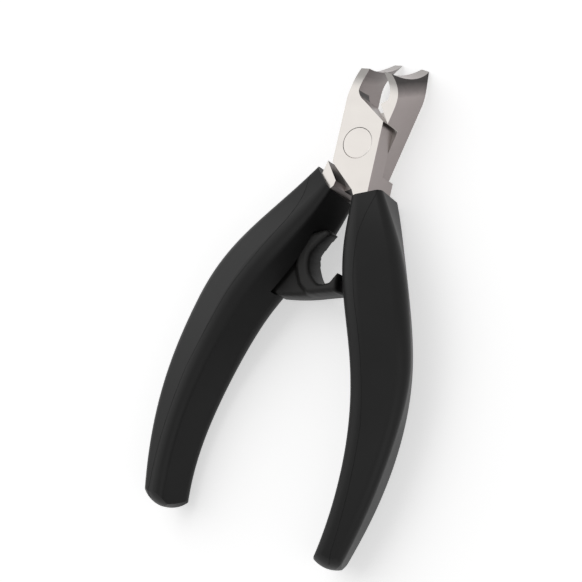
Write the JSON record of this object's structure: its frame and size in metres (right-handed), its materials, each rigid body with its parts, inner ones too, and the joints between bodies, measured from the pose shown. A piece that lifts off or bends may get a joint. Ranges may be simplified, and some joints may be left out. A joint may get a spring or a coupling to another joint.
{
  "type": "hand nipper",
  "caption": "Small lap-jointed hand nipper: broad concave blades meeting end on, flush round rivet, two curved black moulded grips and a moulded return spring between them.",
  "frame": {"origin": "on the pivot axis, in the flat rear face of the joint", "axes": "+X to the right seen from the front plate, +Y from the handles to the jaws, +Z from the rear plate to the front plate"},
  "size_m": [0.0696, 0.1296, 0.0202],
  "materials": {
    "satin_steel": "satin ground steel",
    "rivet_steel": "ground flush with the plate",
    "spring_plastic": "matte moulded",
    "grip_black": "satin moulded",
    "grip_soft": "matte moulded"
  },
  "bodies": {
    "rear": {"rear_half": "satin_steel", "pivot_rivet": "rivet_steel", "spring_tongue": "spring_plastic", "left_grip_inlay": "grip_soft", "left_grip_shell": "grip_black"},
    "front": {"front_half": "satin_steel", "right_grip_inlay": "grip_soft", "right_grip_shell": "grip_black"}
  },
  "joints": [
    {"name": "pivot", "type": "hinge", "parent": "rear", "child": "front", "pos_m": [0, 0, 0.006], "axis": [0, 0, -1], "range_deg": [0, 12.8], "stiffness_Nm_per_rad": 2, "deforming": ["spring_tongue"]}
  ]
}
